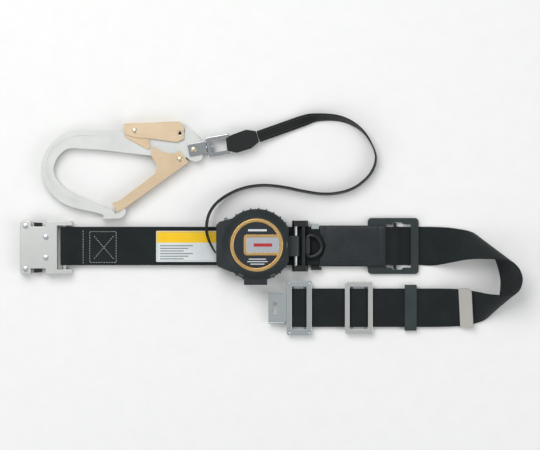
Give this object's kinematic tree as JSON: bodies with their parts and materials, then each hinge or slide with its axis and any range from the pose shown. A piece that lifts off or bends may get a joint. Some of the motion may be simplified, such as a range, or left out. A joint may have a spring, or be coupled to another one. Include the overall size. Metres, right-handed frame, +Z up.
{
  "type": "self retracting lifeline",
  "caption": "Self retracting lifeline: a belt-mounted round reel with a ribbon lanyard, a double-action scaffold hook on a swivel, and a webbing belt with slide plate and push-release buckle.",
  "frame": {"origin": "bottom centre of the box round everything but the ribbon lanyard, as it lies on a table", "axes": "+X along the belt from the buckle to the turned loop, +Y from the belt to the hook, +Z up from the table"},
  "size_m": [0.6508, 0.2896, 0.0445],
  "materials": {
    "webbing": "woven polyester webbing",
    "label_film": "printed cloth label, yellow band above",
    "sleeve_leather": "grained synthetic leather",
    "grey_painted_steel": "satin powder coat",
    "black_plastic": "black coat",
    "bright_alloy": "bright anodised",
    "steel": "plated",
    "spring_steel": "drawn wire and strip",
    "keeper_plastic": "matte",
    "tip_plastic": "matte",
    "hook_alloy": "bead-blasted",
    "gold_chromate": "yellow chromate",
    "chromed_steel": "polished",
    "black_rubber": "moulded",
    "ribbon": "tight woven ribbon",
    "reel_plastic": "fine texture",
    "drum_plastic": "moulded nylon",
    "gold_trim": "satin",
    "navy_plastic": "satin",
    "silver_badge": "satin",
    "button_plastic": "translucent grey"
  },
  "bodies": {
    "belt": {"belt_webbing": "webbing", "sewn_label": "label_film", "pad_sleeve": "sleeve_leather", "slide_plate": "grey_painted_steel", "plate_bar": "steel", "buckle_rear_plate": "bright_alloy", "buckle_front_plate": "bright_alloy", "buckle_spacers": "steel", "buckle_rivets": "steel", "belt_bar": "steel", "lever_springs": "spring_steel", "tongue_frame": "steel", "tongue_plate": "steel", "frame_bar": "steel", "slider_frame": "bright_alloy", "slider_bar": "steel", "belt_tip": "tip_plastic", "belt_bracket": "grey_painted_steel", "hinge_pin": "steel", "belt_stopper": "black_plastic", "stopper_clip": "steel", "swivel_eye": "chromed_steel", "lanyard_end_sleeve": "black_rubber", "lanyard_ribbon": "ribbon"},
    "reel": {"reel_rear_shell": "reel_plastic", "reel_front_shell": "reel_plastic", "case_screws": "steel", "bezel_ring": "gold_trim", "label_disc": "navy_plastic", "badge_frame": "gold_trim", "badge_plate": "silver_badge", "drum_shaft": "steel", "mainspring": "spring_steel", "ratchet_ring": "steel", "exit_rollers": "steel", "stop_spring": "spring_steel", "hinge_leaf": "grey_painted_steel", "lanyard_lead": "ribbon"},
    "spool": {"drum": "drum_plastic", "lanyard_roll": "ribbon", "pawl_pins": "steel"},
    "front_pawl": {"lock_pawl_front": "steel"},
    "back_pawl": {"lock_pawl_back": "steel"},
    "stop_button": {"retract_stop_button": "button_plastic"},
    "ring": {"d_ring": "black_plastic"},
    "hook": {"hook_body": "hook_alloy", "swivel_clevis": "chromed_steel", "clevis_rivet": "steel", "swivel_bolt": "chromed_steel", "gate_rivet": "steel", "lever_rivet": "steel", "gate_spring": "spring_steel", "lever_spring": "spring_steel"},
    "gate": {"hook_gate": "gold_chromate"},
    "grip_lever": {"lock_lever": "gold_chromate", "lock_pawl": "gold_chromate"},
    "upper_release": {"release_lever_upper": "black_plastic"},
    "lower_release": {"release_lever_lower": "black_plastic"},
    "keeper": {"belt_keeper": "keeper_plastic"}
  },
  "joints": [
    {"name": "reel_hinge", "type": "hinge", "parent": "belt", "child": "reel", "pos_m": [0.0332, -0.0225, 0.0142], "axis": [0, 1, 0], "range_deg": [0, 60]},
    {"name": "drum_spin", "type": "hinge", "parent": "reel", "child": "spool", "pos_m": [-0.0174, -0.021, 0.0209], "axis": [0, 0, 1], "continuous": true},
    {"name": "front_pawl_swing", "type": "hinge", "parent": "spool", "child": "front_pawl", "pos_m": [-0.0174, 0.003, 0.0319], "axis": [0, 0, -1], "range_deg": [0, 10], "stiffness_Nm_per_rad": 0.01, "springref_deg": -5.73},
    {"name": "back_pawl_swing", "type": "hinge", "parent": "spool", "child": "back_pawl", "pos_m": [-0.0174, -0.045, 0.0319], "axis": [0, 0, -1], "range_deg": [0, 10], "stiffness_Nm_per_rad": 0.01, "springref_deg": -5.73},
    {"name": "stop_button_press", "type": "slide", "parent": "reel", "child": "stop_button", "axis": [0, -1, 0], "range_m": [0, 0.002], "stiffness_N_per_m": 600, "springref_m": -0.002, "deforming": ["stop_spring"]},
    {"name": "d_ring_lift", "type": "hinge", "parent": "belt", "child": "ring", "pos_m": [0.0484, -0.0225, 0.0132], "axis": [0, -1, 0], "range_deg": [0, 70]},
    {"name": "hook_swivel", "type": "hinge", "parent": "belt", "child": "hook", "pos_m": [-0.0993, 0.1027, 0.0082], "axis": [0.9848, 0.1736, 0], "continuous": true},
    {"name": "grip_lever_squeeze", "type": "hinge", "parent": "hook", "child": "grip_lever", "pos_m": [-0.176, 0.1273, 0.0082], "axis": [0, 0, -1], "range_deg": [0, 10], "stiffness_Nm_per_rad": 0.5, "springref_deg": -17.19, "deforming": ["lever_spring"]},
    {"name": "gate_open", "type": "hinge", "parent": "hook", "child": "gate", "pos_m": [-0.1172, 0.0904, 0.0082], "axis": [0, 0, -1], "range_deg": [0, 30], "stiffness_Nm_per_rad": 0.3, "springref_deg": -17.19, "deforming": ["gate_spring"]},
    {"name": "upper_release_press", "type": "slide", "parent": "belt", "child": "upper_release", "axis": [0, -1, 0], "range_m": [0, 0.003], "stiffness_N_per_m": 800, "springref_m": -0.002, "deforming": ["lever_springs"]},
    {"name": "lower_release_press", "type": "slide", "parent": "belt", "child": "lower_release", "axis": [0, 1, 0], "range_m": [0, 0.003], "stiffness_N_per_m": 800, "springref_m": -0.002, "deforming": ["lever_springs"]},
    {"name": "keeper_slide", "type": "slide", "parent": "belt", "child": "keeper", "axis": [1, 0, 0], "range_m": [-0.035, 0.004]}
  ],
  "couplings": [
    {"joint": "gate_open", "follows": "grip_lever_squeeze", "ratio": 3}
  ]
}
